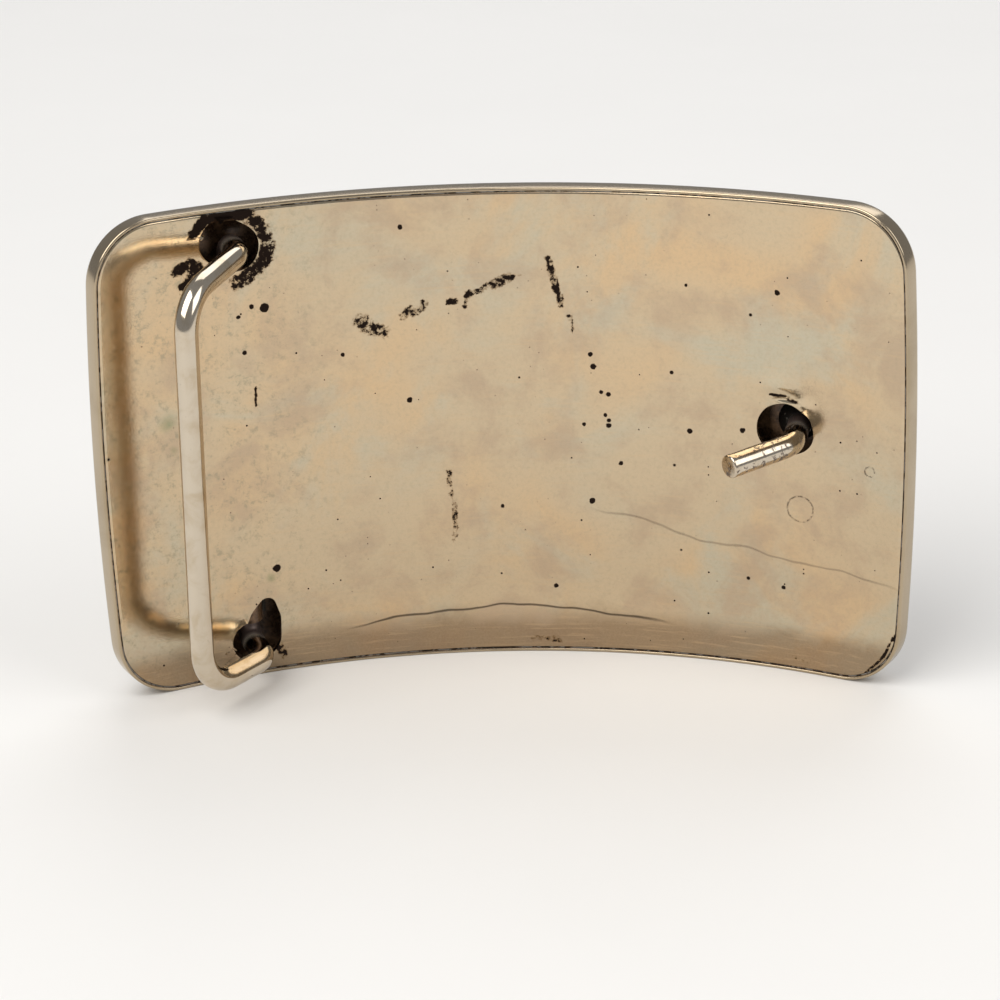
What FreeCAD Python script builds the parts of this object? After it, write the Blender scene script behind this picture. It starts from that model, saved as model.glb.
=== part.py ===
import FreeCAD, Part
import math
import os

# Curved rectangular belt buckle, built as a hollow two-plate assembly. All sizes in millimetres.
# The plates are bent about an upright axis. X runs along the buckle, Z is up, the hollow back faces -Y.
# A place on the plates is given as (s, z): s is arc length along the back face, z is the height.

# ---- driving dimensions of the plates ----
ARC_WIDTH = 89.0
HEIGHT = 53.4
CORNER_RADIUS = 7.0
SIDE_BOW = 0.97
BEND_RADIUS = 78.0
EDGE_DEPTH = 2.5
RIM_PROUD = 0.12
RIM_WIDTH = 0.35
SEAM_WIDTH = 0.15
SEAM_SUNK = 0.1
LEDGE_WIDTH = 0.6
BACK_SHEET = 0.6
FRONT_SHEET = 0.8
PANEL_DEPTH = 4.9
PANEL_INSET = 1.2
SHOULDER_RADIUS = 1.8

# ---- driving dimensions of the wire parts ----
WIRE_RADIUS = 1.25
PIN_CLEARANCE = 0.05
TUBE_WALL = 0.3
TUBE_LENGTH = 4.6
PIN_BEND = 1.8
PIN_LENGTH = 6.6
HINGE_ARC = -28.4
HINGE_DEPTH = 2.35
UPPER_LEG_Z = 22.2
LOWER_LEG_Z = -23.0
UPPER_RISE = 1.9
LOWER_RISE = 3.9
BAR_SIDE = 8.2
BAR_SKEW = 0.25
BAR_RISE = 9.6
BAR_TOP_Z = 20.6
BAR_BEND = 4.5
UPPER_LEG_BEND = 2.6
LOWER_LEG_BEND = 3.0
HOOK_ARC = 31.3
HOOK_Z = 1.2
HOOK_BEND = 3.4
DISC_RADIUS = 3.6
DISC_THICK = 0.8
SOLDER_COLLAR = 0.9

INNER_DEPTH = PANEL_DEPTH - FRONT_SHEET
SIDE_RADIUS = (HEIGHT / 2) ** 2 / (2 * SIDE_BOW)
TUBE_RADIUS = WIRE_RADIUS + PIN_CLEARANCE + TUBE_WALL
V = FreeCAD.Vector
UP = V(0, 0, 1)


def at(s, depth, z):
    """Point at arc length s, the given depth in front of the back face, and height z."""
    angle = s / BEND_RADIUS
    radius = BEND_RADIUS + depth
    return V(radius * math.sin(angle), radius * math.cos(angle) - BEND_RADIUS, z)


def outward(s):
    """Unit vector square to the back face, pointing away from the front."""
    angle = s / BEND_RADIUS
    return V(-math.sin(angle), -math.cos(angle), 0)


def along(s):
    """Unit vector along the back face towards +s."""
    angle = s / BEND_RADIUS
    return V(math.cos(angle), -math.sin(angle), 0)


def local(s, side, rise, z):
    """Point beside the plate: side along the face and rise above it, both measured at s."""
    return at(s, 0, z) + along(s) * side + outward(s) * rise


def end_prism(inset, side):
    """Long bar with one rounded, slightly bowed end, square to the plate at that end of the buckle."""
    end = side * ARC_WIDTH / 2
    corner = CORNER_RADIUS - inset
    corner_z = HEIGHT / 2 - CORNER_RADIUS
    reach = SIDE_RADIUS - CORNER_RADIUS
    corner_t = math.sqrt(reach ** 2 - corner_z ** 2) - SIDE_RADIUS
    lean = math.asin(corner_z / reach)
    middle_angle = (lean + math.pi / 2) / 2
    edge_z = HEIGHT / 2 - inset

    def spot(t, z):
        return at(end, 0, z) + along(end) * (side * t) + outward(end) * 90

    def corner_spot(angle, z_sign):
        return spot(corner_t + corner * math.cos(angle), z_sign * (corner_z + corner * math.sin(angle)))

    top = spot(corner_t, edge_z)
    bottom = spot(corner_t, -edge_z)
    apex = spot(-inset, 0)
    edges = [
        Part.makeLine(spot(-150, edge_z), top),
        Part.Arc(top, corner_spot(middle_angle, 1), corner_spot(lean, 1)).toShape(),
        Part.Arc(corner_spot(lean, 1), apex, corner_spot(lean, -1)).toShape(),
        Part.Arc(corner_spot(lean, -1), corner_spot(middle_angle, -1), bottom).toShape(),
        Part.makeLine(bottom, spot(-150, -edge_z)),
        Part.makeLine(spot(-150, -edge_z), spot(-150, edge_z)),
    ]
    return Part.Face(Part.Wire(edges)).extrude(outward(end) * -180)


def drum(radius):
    """Round drum about the bend axis, taller than the buckle."""
    return Part.makeCylinder(radius, 2 * HEIGHT, V(0, -BEND_RADIUS, -HEIGHT), UP)


def ring(inner_depth, outer_depth):
    """Everything between two depths, measured from the back face."""
    return drum(BEND_RADIUS + outer_depth).cut(drum(BEND_RADIUS + inner_depth))


def slab(inset, inner_depth, outer_depth):
    """Bent plate with the buckle's outline, walls square to the bend at both ends."""
    return ring(inner_depth, outer_depth).common(end_prism(inset, 1)).common(end_prism(inset, -1))


def edges_at_depth(shape, depth):
    """Edges that lie wholly at one depth."""
    found = []
    for edge in shape.Edges:
        points = edge.discretize(5)
        depths = [math.hypot(p.x, p.y + BEND_RADIUS) - BEND_RADIUS for p in points]
        if all(abs(value - depth) < 0.01 for value in depths):
            found.append(edge)
    return found


def domed_slab(inset, inner_depth, outer_depth, rounding):
    """Bent plate whose front edge is rounded over."""
    plate = slab(inset, inner_depth, outer_depth)
    return plate.makeFillet(rounding, edges_at_depth(plate, outer_depth))


def hole_cutter(circles, depth):
    """Cutter for a hole made of round ends (s, z, radius) joined by straight flanks."""
    middle = sum(circle[0] for circle in circles) / len(circles)
    axis = outward(middle) * -1
    side = along(middle)
    start = at(middle, 0, 0) - axis * 2

    def spot(s, z):
        return start + side * (s - middle) + UP * z

    cutter = None
    for s, z, radius in circles:
        post = Part.makeCylinder(radius, depth + 2, spot(s, z), axis)
        cutter = post if cutter is None else cutter.fuse(post)
    for (s1, z1, r1), (s2, z2, r2) in zip(circles, circles[1:]):
        gap = math.hypot(s2 - s1, z2 - z1)
        heading = math.atan2(z2 - z1, s2 - s1)
        spread = math.acos((r1 - r2) / gap)
        corners = []
        for s, z, radius, sign in ((s1, z1, r1, 1), (s2, z2, r2, 1), (s2, z2, r2, -1), (s1, z1, r1, -1)):
            angle = heading + sign * spread
            corners.append(spot(s + radius * math.cos(angle), z + radius * math.sin(angle)))
        flank = Part.Face(Part.makePolygon(corners + [corners[0]]))
        cutter = cutter.fuse(flank.extrude(axis * (depth + 2)))
    return cutter.removeSplitter()


def wire_spine(points, bends):
    """Straight runs joined by tangent arcs."""
    edges = []
    start = points[0]
    for index, bend in enumerate(bends, 1):
        corner = points[index]
        back = (points[index - 1] - corner).normalize()
        ahead = (points[index + 1] - corner).normalize()
        half = back.getAngle(ahead) / 2
        trim = bend / math.tan(half)
        middle = (back + ahead).normalize()
        centre = corner + middle * (bend / math.sin(half))
        edges.append(Part.makeLine(start, corner + back * trim))
        arc = Part.Arc(corner + back * trim, centre - middle * bend, corner + ahead * trim)
        edges.append(arc.toShape())
        start = corner + ahead * trim
    edges.append(Part.makeLine(start, points[-1]))
    return Part.Wire(edges)


def bent_wire(points, bends, end_rounding):
    """Round wire along a bent path, ends eased."""
    spine = wire_spine(points, bends)
    heading = points[1] - points[0]
    section = Part.Face(Part.Wire(Part.makeCircle(WIRE_RADIUS, points[0], heading)))
    rod = spine.makePipe(section)
    ends = []
    for edge in rod.Edges:
        centre = edge.BoundBox.Center
        if min(centre.distanceToPoint(points[0]), centre.distanceToPoint(points[-1])) < 0.01:
            if edge.Closed:
                ends.append(edge)
    return rod.makeFillet(end_rounding, ends)


def bail_points():
    """Corners of the wire bail from its upper pin round to its lower pin."""
    side = BAR_SIDE - BAR_SKEW
    low_side = BAR_SIDE + BAR_SKEW
    return [
        local(HINGE_ARC, 0, -HINGE_DEPTH, UPPER_LEG_Z - PIN_LENGTH),
        local(HINGE_ARC, 0, -HINGE_DEPTH, UPPER_LEG_Z),
        local(HINGE_ARC, 0, UPPER_RISE, UPPER_LEG_Z),
        local(HINGE_ARC, -side, BAR_RISE, BAR_TOP_Z),
        local(HINGE_ARC, -low_side, BAR_RISE, LOWER_LEG_Z),
        local(HINGE_ARC, 0, LOWER_RISE, LOWER_LEG_Z),
        local(HINGE_ARC, 0, -HINGE_DEPTH, LOWER_LEG_Z),
        local(HINGE_ARC, 0, -HINGE_DEPTH, LOWER_LEG_Z + PIN_LENGTH),
    ]


def bail():
    """Swinging wire loop the belt end is fixed to."""
    bends = [PIN_BEND, UPPER_LEG_BEND, BAR_BEND, BAR_BEND, LOWER_LEG_BEND, PIN_BEND]
    return bent_wire(bail_points(), bends, 0.25)


def tube_span(leg_z, inward):
    """Lower and upper height of the hinge tube beside one leg."""
    near = leg_z + inward * (PIN_BEND + 0.3)
    far = near + inward * TUBE_LENGTH
    return min(near, far), max(near, far)


def hinge_tube(leg_z, inward):
    """Short tube one bail pin turns in."""
    low, high = tube_span(leg_z, inward)
    foot = local(HINGE_ARC, 0, -HINGE_DEPTH, low)
    body = Part.makeCylinder(TUBE_RADIUS, high - low, foot, UP)
    bore = Part.makeCylinder(WIRE_RADIUS + PIN_CLEARANCE, high - low, foot, UP)
    return body.cut(bore)


def hinge_solder(leg_z, inward):
    """Bed of solder that holds one hinge tube to the inside of the front."""
    low, high = tube_span(leg_z, inward)
    half = TUBE_RADIUS + 0.55
    rise = 1.3
    margin = 0.35
    corner = local(HINGE_ARC, -half, -INNER_DEPTH - 1, low + margin)
    block = Part.makeBox(2 * half, rise + 1, high - low - 2 * margin)
    block.Placement = FreeCAD.Placement(corner, FreeCAD.Rotation(along(HINGE_ARC), outward(HINGE_ARC) * -1,
                                                                  UP, "XYZ"))
    block.translate(outward(HINGE_ARC) * (rise + 1))
    bed = block.common(ring(0, INNER_DEPTH))
    foot = local(HINGE_ARC, 0, -HINGE_DEPTH, low)
    return bed.cut(Part.makeCylinder(TUBE_RADIUS, high - low, foot, UP))


def hook_points():
    """Corners of the fixed hook from its buried foot to its tip."""
    return [
        local(HOOK_ARC, -0.5, -INNER_DEPTH - 1, HOOK_Z),
        local(HOOK_ARC, 1.1, 3.3, HOOK_Z - 0.2),
        local(HOOK_ARC, -3.3, 10.6, HOOK_Z - 0.65),
    ]


def hook_axis():
    """Foot and direction of the straight part of the hook inside the buckle."""
    points = hook_points()
    return points[0], (points[1] - points[0]).normalize()


def hook():
    """Bent peg that drops into the belt holes."""
    rod = bent_wire(hook_points(), [HOOK_BEND], 0.3)
    return rod.common(ring(-40, INNER_DEPTH))


def hook_core():
    """The hook's straight foot, used to clear the parts round it."""
    foot, heading = hook_axis()
    return Part.makeCylinder(WIRE_RADIUS, 5, foot - heading, heading)


def hook_disc():
    """Round base disc inside the front that spreads the pull of the hook."""
    foot, heading = hook_axis()
    blank = Part.makeCylinder(DISC_RADIUS, 6, at(HOOK_ARC, 6, HOOK_Z), outward(HOOK_ARC))
    plate = blank.common(ring(INNER_DEPTH - DISC_THICK, INNER_DEPTH))
    return plate.cut(hook_core())


def hook_solder():
    """Collar of solder where the hook leaves its base disc."""
    foot, heading = hook_axis()
    reach = (foot - at(HOOK_ARC, 0, HOOK_Z)).Length - INNER_DEPTH + DISC_THICK
    seat = foot + heading * (reach - 0.3)
    collar = Part.makeCone(WIRE_RADIUS + SOLDER_COLLAR + 0.3, WIRE_RADIUS + 0.1, SOLDER_COLLAR + 0.5,
                           seat, heading)
    return collar.common(ring(0, INNER_DEPTH - DISC_THICK)).cut(hook_core())


def front_shell():
    """Formed front: rolled rim, narrow ledge for the back plate and a raised hollow panel."""
    band = slab(0, -RIM_PROUD, EDGE_DEPTH)
    band = band.makeFillet(0.8, edges_at_depth(band, EDGE_DEPTH))
    band = band.makeFillet(0.2, edges_at_depth(band, -RIM_PROUD))
    panel = domed_slab(PANEL_INSET, EDGE_DEPTH - 1, PANEL_DEPTH, SHOULDER_RADIUS + 0.5)
    ledge_inset = RIM_WIDTH + LEDGE_WIDTH
    hollow = domed_slab(PANEL_INSET + FRONT_SHEET, BACK_SHEET, INNER_DEPTH, SHOULDER_RADIUS)
    mouth = slab(ledge_inset, -1, EDGE_DEPTH - FRONT_SHEET)
    seat = slab(RIM_WIDTH, -1, BACK_SHEET)
    return band.fuse(panel).cut(hollow).cut(mouth).cut(seat).removeSplitter()


UPPER_HOLE = ((-29.4, 23.0, 2.65), (-28.3, 22.3, 2.65))
LOWER_HOLE = ((-28.4, -22.7, 2.2), (-27.6, -22.5, 2.2), (-27.1, -20.4, 1.9), (-26.8, -18.8, 1.0))
HOOK_HOLE = ((30.3, 1.15, 3.0), (31.1, 1.05, 2.6))


def back_plate():
    """Flat sheet bent to the buckle, with three holes the wire parts come out of."""
    plate = slab(RIM_WIDTH + SEAM_WIDTH, 0, BACK_SHEET)
    for circles in (UPPER_HOLE, LOWER_HOLE, HOOK_HOLE):
        plate = plate.cut(hole_cutter(circles, BACK_SHEET + 1))
    return plate


def edge_solder():
    """Thin line of solder that joins the back plate to the rim."""
    outer = slab(RIM_WIDTH, SEAM_SUNK, BACK_SHEET)
    return outer.cut(slab(RIM_WIDTH + SEAM_WIDTH, -1, BACK_SHEET + 1))


def origin_shift():
    """Move that puts the origin under the middle of the whole buckle, on the surface it stands on."""
    bar_back = min(point.y for point in bail_points()) - WIRE_RADIUS
    return V(0, -(bar_back + PANEL_DEPTH) / 2, HEIGHT / 2)


def main():
    """Build every part, set the origin under the middle of the buckle and write the files."""
    parts = {
        "front_shell": front_shell(),
        "back_plate": back_plate(),
        "edge_solder": edge_solder(),
        "bail": bail(),
        "hinge_tube_upper": hinge_tube(UPPER_LEG_Z, -1),
        "hinge_tube_lower": hinge_tube(LOWER_LEG_Z, 1),
        "hinge_solder_upper": hinge_solder(UPPER_LEG_Z, -1),
        "hinge_solder_lower": hinge_solder(LOWER_LEG_Z, 1),
        "hook": hook(),
        "hook_base_disc": hook_disc(),
        "hook_solder": hook_solder(),
    }
    shift = origin_shift()
    os.makedirs("parts", exist_ok=True)
    for name, shape in parts.items():
        shape.translate(shift)
        shape.exportStep("parts/" + name + ".step")
        print(name, shape.isValid(), len(shape.Solids), round(shape.Volume, 2))
    hinge = local(HINGE_ARC, 0, -HINGE_DEPTH, 0) + shift
    print("shift", shift, "hinge", hinge)


main()
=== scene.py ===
"""Curved plate belt buckle with a swinging wire bail and a fixed hook, dressed for display."""

import logging
from dataclasses import dataclass, field
from enum import Enum
from functools import partialmethod
from math import asin, atan2, cos, degrees, exp, hypot, pi, radians, sin, sqrt, tan, tau
from typing import Iterable, Sequence

import bmesh
import bpy
from mathutils import Matrix, Vector, noise

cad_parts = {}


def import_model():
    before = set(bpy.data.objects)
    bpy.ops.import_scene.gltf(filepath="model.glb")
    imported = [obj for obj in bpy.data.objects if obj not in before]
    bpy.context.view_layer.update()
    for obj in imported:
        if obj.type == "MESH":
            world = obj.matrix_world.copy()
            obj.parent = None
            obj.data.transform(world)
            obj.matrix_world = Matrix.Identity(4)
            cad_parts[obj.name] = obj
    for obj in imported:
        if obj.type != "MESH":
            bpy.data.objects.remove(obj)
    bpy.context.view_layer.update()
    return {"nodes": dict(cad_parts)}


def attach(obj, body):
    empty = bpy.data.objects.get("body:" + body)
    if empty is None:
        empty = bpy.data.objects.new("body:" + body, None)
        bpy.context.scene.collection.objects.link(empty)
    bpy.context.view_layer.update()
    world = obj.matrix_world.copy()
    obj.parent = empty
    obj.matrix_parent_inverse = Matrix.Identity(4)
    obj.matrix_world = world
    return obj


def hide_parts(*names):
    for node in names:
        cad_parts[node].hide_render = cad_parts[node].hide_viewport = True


LOG = logging.getLogger("buckle")
MM = 0.001
MM_PER_METRE = 1000.0
SEED = 7
Place = tuple[float, float]
Triple = tuple[float, float, float]
Colour = Triple
Piece = bpy.types.Object
Material = bpy.types.Material
Socket = bpy.types.NodeSocket
Mesh = bmesh.types.BMesh
Edge = bmesh.types.BMEdge
Vert = bmesh.types.BMVert


class Gloss(Enum):
    """How sharply a metal surface reflects."""

    BRIGHT = 0.09
    SATIN = 0.13
    DULL = 0.55


@dataclass(frozen=True)
class Bend:
    """The upright bend shared by both plates, in millimetres."""

    radius: float = 78.0
    shift_y: float = 6.7216
    shift_z: float = 26.7

    def place(self, s: float, z: float, depth: float = 0.0) -> Vector:
        """Point in metres at arc length s, height z, and a depth in front of the back face.

        Args:
            s: distance along the back face from its middle.
            z: height from the middle of the buckle.
            depth: distance from the back face towards the front.

        Returns:
            The point in the buckle's own frame.
        """
        angle = s / self.radius
        reach = self.radius + depth
        y = reach * cos(angle) - self.radius + self.shift_y
        return Vector((reach * sin(angle), y, z + self.shift_z)) * MM

    def outward(self, s: float) -> Vector:
        """Unit vector out of the back face at s."""
        angle = s / self.radius
        return Vector((-sin(angle), -cos(angle), 0.0))

    def along(self, s: float) -> Vector:
        """Unit vector along the back face at s."""
        angle = s / self.radius
        return Vector((cos(angle), -sin(angle), 0.0))

    def local(self, s: float, side: float, rise: float, z: float) -> Vector:
        """Point beside s, moved along the face and out from it, in metres."""
        return self.place(s, z) + (self.along(s) * side + self.outward(s) * rise) * MM


@dataclass(frozen=True)
class Outline:
    """Rounded rectangle with slightly bowed ends, walked clockwise from its top left corner."""

    arc_width: float = 89.0
    height: float = 53.4
    corner: float = 7.0
    bow: float = 0.97
    columns: int = 180
    rows: int = 108

    def walk(self) -> list[tuple[Place, Place]]:
        """Places round the outline with their inward directions.

        Returns:
            One (place, inward) pair for each step of the border.
        """
        side_radius = (self.height / 2) ** 2 / (2 * self.bow)
        centre_z = self.height / 2 - self.corner
        reach = side_radius - self.corner
        corner_s = self.arc_width / 2 - side_radius + sqrt(reach ** 2 - centre_z ** 2)
        lean = asin(centre_z / reach)
        middle = (lean + pi / 2) / 2
        pairs: list[tuple[Place, Place]] = []
        side, end = (self.columns, True), (self.rows, False)
        for sign, (count, is_long) in ((1, side), (1, end), (-1, side), (-1, end)):
            arc = self.corner * ((pi / 2 - middle) if is_long else (middle - lean))
            run = 2 * corner_s if is_long else 2 * lean * side_radius
            total = run + 2 * arc
            for step in range(count):
                far = total * step / count
                if far < arc or far > total - arc:
                    starting = far < arc
                    turn = far / self.corner if starting else (total - far) / self.corner
                    angle = middle + turn if is_long else middle - turn
                    away_s = -1 if is_long and starting else 1
                    away_z = 1 if is_long or starting else -1
                    direction = (away_s * cos(angle), away_z * sin(angle))
                    place = (away_s * corner_s + self.corner * direction[0],
                             away_z * centre_z + self.corner * direction[1])
                elif is_long:
                    direction = (0.0, 1.0)
                    place = (-corner_s + far - arc, self.height / 2)
                else:
                    angle = lean - (far - arc) / side_radius
                    direction = (cos(angle), sin(angle))
                    middle_s = self.arc_width / 2 - side_radius
                    place = (middle_s + side_radius * direction[0], side_radius * direction[1])
                pairs.append(((sign * place[0], sign * place[1]),
                              (-sign * direction[0], -sign * direction[1])))
        return pairs


def of_kind(made: Iterable[object], kind: type) -> list:
    """Keeps the items of one bmesh kind out of what an operator made."""
    return [item for item in made if isinstance(item, kind)]


def held(value: float) -> float:
    """Value held between 0 and 1."""
    return min(1.0, max(0.0, value))


@dataclass
class BentSheet:
    """A sheet grown from a rectangular grid outwards, ring by ring, and bent with the buckle."""

    bend: Bend
    outline: Outline
    mesh: Mesh = field(default_factory=bmesh.new)
    border: list[tuple[Place, Place]] = field(default_factory=list)

    def __post_init__(self) -> None:
        """Walks the outline once and opens the ring counter."""
        self.border = self.outline.walk()
        self.ring = self.mesh.verts.layers.int.new("ring")

    def index(self, column: int, row: int) -> int:
        """Border step of a grid corner, or -1 inside the grid."""
        wide, tall = self.outline.columns, self.outline.rows
        if row == tall:
            return column
        if column == wide:
            return wide + tall - row
        if row == 0:
            return 2 * wide + tall - column
        if column == 0:
            return 2 * wide + tall + row
        return -1

    def inset_place(self, step: int, inset: float) -> Place:
        """Place at a border step moved inwards."""
        place, inward = self.border[step % len(self.border)]
        return place[0] + inward[0] * inset, place[1] + inward[1] * inset

    def panel(self, inset: float, depth: float) -> list[Vert]:
        """Adds the middle grid, stretched to fill the outline at one inset.

        Args:
            inset: distance of the grid's border from the outline.
            depth: depth of the whole grid.

        Returns:
            The new vertices.
        """
        wide, tall = self.outline.columns, self.outline.rows
        made = bmesh.ops.create_grid(self.mesh, x_segments=wide, y_segments=tall, size=1.0)["verts"]
        top = [self.inset_place(self.index(column, tall), inset) for column in range(wide + 1)]
        bottom = [self.inset_place(self.index(column, 0), inset) for column in range(wide + 1)]
        left = [self.inset_place(self.index(0, row), inset) for row in range(tall + 1)]
        right = [self.inset_place(self.index(wide, row), inset) for row in range(tall + 1)]
        for vert in made:
            column = round((vert.co.x + 1) / 2 * wide)
            row = round((vert.co.y + 1) / 2 * tall)
            u, v = column / wide, row / tall
            place = [0.0, 0.0]
            for axis in (0, 1):
                edges = ((1 - v) * bottom[column][axis] + v * top[column][axis]
                         + (1 - u) * left[row][axis] + u * right[row][axis])
                corners = ((1 - u) * (1 - v) * bottom[0][axis] + u * (1 - v) * bottom[wide][axis]
                           + (1 - u) * v * top[0][axis] + u * v * top[wide][axis])
                place[axis] = edges - corners
            vert[self.ring] = self.index(column, row)
            vert.co = self.bend.place(place[0], place[1], depth)
        return made

    def grow(self, edges: Sequence[Edge], inset: float, depth: float) -> list[Edge]:
        """Extrudes a closed border to a new inset and depth.

        Args:
            edges: the border's edges.
            inset: new distance from the outline.
            depth: new depth.

        Returns:
            The edges of the new border.
        """
        made = bmesh.ops.extrude_edge_only(self.mesh, edges=list(edges))["geom"]
        for vert in of_kind(made, Vert):
            vert.co = self.bend.place(*self.inset_place(vert[self.ring], inset), depth)
        return [edge for edge in of_kind(made, Edge) if edge.is_boundary]

    def bent_place(self, point: Vector) -> Place:
        """Arc length and height of a point of the finished sheet."""
        flat = point / MM
        angle = atan2(flat.x, flat.y - self.bend.shift_y + self.bend.radius)
        return angle * self.bend.radius, flat.z - self.bend.shift_z


def quarter(inset: float, depth: float, radius: float, start: float, end: float,
            steps: int) -> list[Place]:
    """(inset, depth) pairs round part of a rounded edge.

    Args:
        inset: inset of the rounding's centre.
        depth: depth of the rounding's centre.
        radius: radius of the rounding.
        start: first angle in degrees, 0 towards the rim and 90 towards the front.
        end: last angle in degrees.
        steps: number of steps between them.

    Returns:
        The pairs, first and last included.
    """
    angles = [radians(start + (end - start) * step / steps) for step in range(steps + 1)]
    return [(inset - radius * cos(angle), depth + radius * sin(angle)) for angle in angles]


def finished(name: str, mesh: Mesh, materials: Iterable[Material]) -> Piece:
    """Turns a bmesh into a smooth, placed object.

    Args:
        name: name of the piece.
        mesh: its finished bmesh, which is freed.
        materials: its materials, in slot order.

    Returns:
        The new object.
    """
    data = bpy.data.meshes.new(name)
    mesh.to_mesh(data)
    mesh.free()
    for material in materials:
        data.materials.append(material)
    data.shade_smooth()
    piece = bpy.data.objects.new(name, data)
    bpy.context.scene.collection.objects.link(piece)
    return piece


class Graph:
    """A material under construction."""

    def __init__(self, name: str, metallic: float = 1.0) -> None:
        """Starts an empty material with one Principled shader.

        Args:
            name: name of the material.
            metallic: 1 for bare metal, 0 for grime, oxide or paint.
        """
        self.material = bpy.data.materials.new(name)
        self.material.use_nodes = True
        self.tree = self.material.node_tree
        self.tree.nodes.clear()
        output = self.node("OutputMaterial")
        self.shader = self.node("BsdfPrincipled")
        self.shader.inputs["Metallic"].default_value = metallic
        self.tree.links.new(self.shader.outputs[0], output.inputs[0])
        self.coords = self.node("TexCoord").outputs["Object"]

    def node(self, kind: str, **inputs: object) -> bpy.types.Node:
        """Adds one node of a kind and sets or links its named inputs."""
        node = self.tree.nodes.new("ShaderNode" + kind)
        for name, value in inputs.items():
            self.put(node.inputs[name], value)
        return node

    def put(self, socket: Socket, value: object) -> None:
        """Links or sets one input."""
        if isinstance(value, Socket):
            self.tree.links.new(value, socket)
        elif isinstance(value, tuple) and len(value) == 3 and len(socket.default_value) == 4:
            socket.default_value = (*value, 1.0)
        else:
            socket.default_value = value

    def stretched(self, scale: Triple, turn: Triple = (0.0, 0.0, 0.0)) -> Socket:
        """Object coordinates scaled and turned, for brushed or drawn marks."""
        turned = tuple(radians(value) for value in turn)
        return self.node("Mapping", Vector=self.coords, Scale=scale, Rotation=turned).outputs[0]

    def noise(self, per_mm: float, detail: float = 3.0, rough: float = 0.5,
              vector: Socket | None = None, warp: float = 0.0) -> Socket:
        """Noise factor.

        Args:
            per_mm: how many patches lie along one millimetre.
            detail: number of finer layers.
            rough: strength of the finer layers.
            vector: coordinates, or the object's own.
            warp: distortion of the pattern.

        Returns:
            The factor socket.
        """
        node = self.node("TexNoise", Vector=vector or self.coords, Scale=per_mm * MM_PER_METRE,
                         Detail=detail, Roughness=rough, Distortion=warp)
        return node.outputs[0]

    def math(self, operation: str, first: object, second: object = 0.0) -> Socket:
        """One Math node."""
        node = self.node("Math")
        node.operation = operation
        for socket, value in zip(node.inputs, (first, second)):
            self.put(socket, value)
        return node.outputs[0]

    times = partialmethod(math, "MULTIPLY")
    plus = partialmethod(math, "ADD")
    minus = partialmethod(math, "SUBTRACT")
    most = partialmethod(math, "MAXIMUM")

    def step(self, value: object, low: float, high: float) -> Socket:
        """Smooth rise from 0 at low to 1 at high, or a fall where low is the larger."""
        flip = low > high
        ends = {"From Min": min(low, high), "From Max": max(low, high),
                "To Min": float(flip), "To Max": float(not flip)}
        node = self.node("MapRange", Value=value, **ends)
        node.interpolation_type = "SMOOTHSTEP"
        return node.outputs[0]

    def mix(self, factor: object, first: object, second: object) -> Socket:
        """Colour mix."""
        node = self.node("Mix")
        node.data_type = "RGBA"
        self.put(node.inputs[0], factor)
        self.put(node.inputs[6], first)
        self.put(node.inputs[7], second)
        return node.outputs[2]

    def tint(self, colour: object, over: object, mask: object, share: float) -> Socket:
        """Colour with another laid over it, at a share of the mask's strength."""
        return self.mix(self.times(mask, share), colour, over)

    def blend(self, factor: object, first: object, second: object) -> Socket:
        """Number mix."""
        node = self.node("Mix")
        self.put(node.inputs[0], factor)
        self.put(node.inputs[2], first)
        self.put(node.inputs[3], second)
        return node.outputs[0]

    def axes(self) -> tuple[Socket, ...]:
        """The three object coordinates in millimetres."""
        node = self.node("SeparateXYZ", Vector=self.coords)
        return tuple(self.times(socket, MM_PER_METRE) for socket in node.outputs)

    def attribute(self, name: str) -> Socket:
        """A number stored on the piece's own points."""
        node = self.node("Attribute")
        node.attribute_name = name
        return node.outputs["Fac"]

    def distance(self, point: Vector) -> Socket:
        """Distance from a fixed point of the piece, in millimetres."""
        node = self.node("VectorMath")
        node.operation = "DISTANCE"
        self.tree.links.new(self.coords, node.inputs[0])
        node.inputs[1].default_value = point
        return self.times(node.outputs["Value"], MM_PER_METRE)

    def pits(self, per_mm: float, size: float, share: float) -> Socket:
        """Scattered small dots.

        Args:
            per_mm: cells along one millimetre.
            size: largest radius of a dot, as a share of its cell.
            share: share of cells that hold a dot.

        Returns:
            A mask that is 1 in the dots.
        """
        node = self.node("TexVoronoi", Vector=self.coords, Scale=per_mm * MM_PER_METRE)
        split = self.node("SeparateColor", Color=node.outputs["Color"])
        edge = 0.01
        lucky = self.step(split.outputs[0], 1 - share - edge, 1 - share + edge)
        radius = self.times(self.math("POWER", split.outputs[1], 2.0), size)
        inside = self.step(self.minus(node.outputs["Distance"], radius), 0.0, -0.04)
        return self.times(inside, lucky)

    def bump(self, height: object, strength: float, deep_mm: float,
             under: Socket | None = None) -> Socket:
        """Bump normal from a height."""
        node = self.node("Bump", Strength=strength, Distance=deep_mm * MM, Height=height)
        if under is not None:
            self.put(node.inputs["Normal"], under)
        return node.outputs[0]

    def dress(self, colour: object, roughness: object, normal: Socket | None = None,
              metallic: object = None) -> Material:
        """Connects the finished colour, roughness and normal.

        Args:
            colour: base colour.
            roughness: roughness number or socket.
            normal: bumped normal, if there is one.
            metallic: metal share, where grime covers part of the metal.

        Returns:
            The material.
        """
        self.put(self.shader.inputs["Base Color"], colour)
        self.put(self.shader.inputs["Roughness"], roughness)
        if normal is not None:
            self.put(self.shader.inputs["Normal"], normal)
        if metallic is not None:
            self.put(self.shader.inputs["Metallic"], metallic)
        return self.material


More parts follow.
